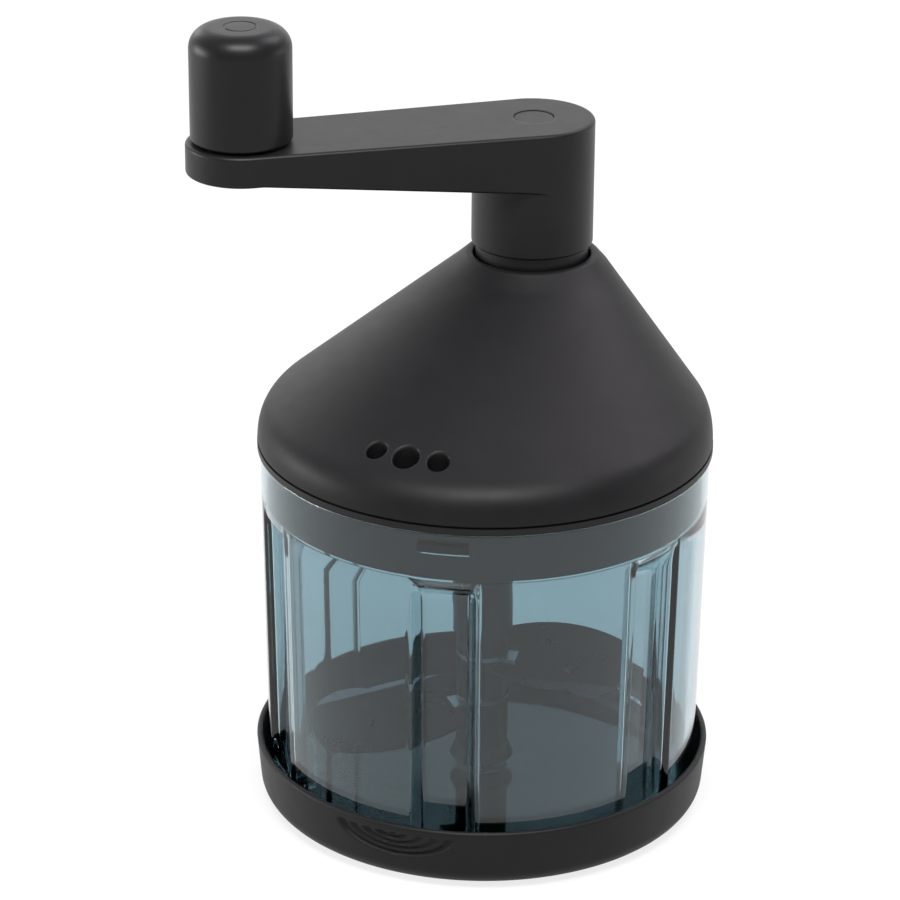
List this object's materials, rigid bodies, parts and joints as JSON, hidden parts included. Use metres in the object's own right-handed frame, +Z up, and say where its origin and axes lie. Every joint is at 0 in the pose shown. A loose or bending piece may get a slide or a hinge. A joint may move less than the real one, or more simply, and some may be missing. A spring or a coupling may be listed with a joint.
{
  "type": "hand crank food chopper",
  "caption": "Hand crank food chopper: black domed lid with offset crank and gears, tinted clear fluted bowl with steel blades, and a non-slip tray under it.",
  "frame": {"origin": "centre of the tray's resting face, on the bowl's axis", "axes": "+Z up along the bowl's axis; -Y towards the pouring holes; the crank's axis stands 29 mm along +Y"},
  "size_m": [0.1357, 0.1222, 0.2133],
  "materials": {
    "tray": "matte black, slightly soft-touch moulding",
    "grip_rubber": "matt black rubber",
    "tinted_clear": "clear plastic tinted dark turquoise, polished",
    "steel": "fine brushed stainless steel",
    "screw_steel": "bright plated steel",
    "hub_plastic": "satin dark plastic",
    "lid_black": "fine-grained matte black",
    "lid_base_black": "satin black",
    "arm_black": "fine-grained matte black",
    "knob_black": "satin black",
    "inner_plastic": "satin black",
    "bush_plastic": "natural white low-friction plastic"
  },
  "bodies": {
    "base": {"base_tray": "tray", "tray_grip_pad": "grip_rubber"},
    "bowl_unit": {"bowl": "tinted_clear", "bowl_pivot_pin": "steel"},
    "blade_unit": {"blade_hub": "hub_plastic", "lower_blade": "steel", "blade_spacer": "hub_plastic", "upper_blade": "steel", "blade_shaft": "hub_plastic"},
    "lid_unit": {"lid_base": "lid_base_black", "lid_shell": "lid_black", "lid_screws": "screw_steel", "neck_bush": "bush_plastic", "pinion_bush": "bush_plastic", "pivot_bush": "bush_plastic", "gear_cover": "bush_plastic", "gear_cover_screws": "screw_steel"},
    "pinion_unit": {"drive_pinion": "hub_plastic"},
    "crank_unit": {"crank_shaft": "inner_plastic", "crank_gear": "bush_plastic", "gear_clip": "screw_steel", "crank_arm": "arm_black", "crank_screw": "screw_steel", "screw_cap": "arm_black", "knob_pin": "steel", "knob_washer": "steel", "knob_clip": "screw_steel"},
    "knob_unit": {"knob": "knob_black", "knob_core": "inner_plastic"}
  },
  "joints": [
    {"name": "bowl_lift", "type": "slide", "parent": "base", "child": "bowl_unit", "axis": [0, 0, 1], "range_m": [0, 0.04]},
    {"name": "lid_lift", "type": "slide", "parent": "bowl_unit", "child": "lid_unit", "axis": [0, 0, 1], "range_m": [0, 0.075]},
    {"name": "crank_turn", "type": "hinge", "parent": "lid_unit", "child": "crank_unit", "pos_m": [0, 0.029, 0.15], "axis": [0, 0, 1], "continuous": true},
    {"name": "pinion_spin", "type": "hinge", "parent": "lid_unit", "child": "pinion_unit", "pos_m": [0, 0, 0.11], "axis": [0, 0, 1], "continuous": true},
    {"name": "blade_spin", "type": "hinge", "parent": "bowl_unit", "child": "blade_unit", "pos_m": [0, 0, 0.02], "axis": [0, 0, 1], "continuous": true},
    {"name": "knob_spin", "type": "hinge", "parent": "crank_unit", "child": "knob_unit", "pos_m": [-0.05998, -0.02133, 0.19], "axis": [0, 0, 1], "continuous": true}
  ],
  "couplings": [
    {"joint": "pinion_spin", "follows": "crank_turn", "ratio": -2.2222},
    {"joint": "blade_spin", "follows": "crank_turn", "ratio": -2.2222}
  ]
}
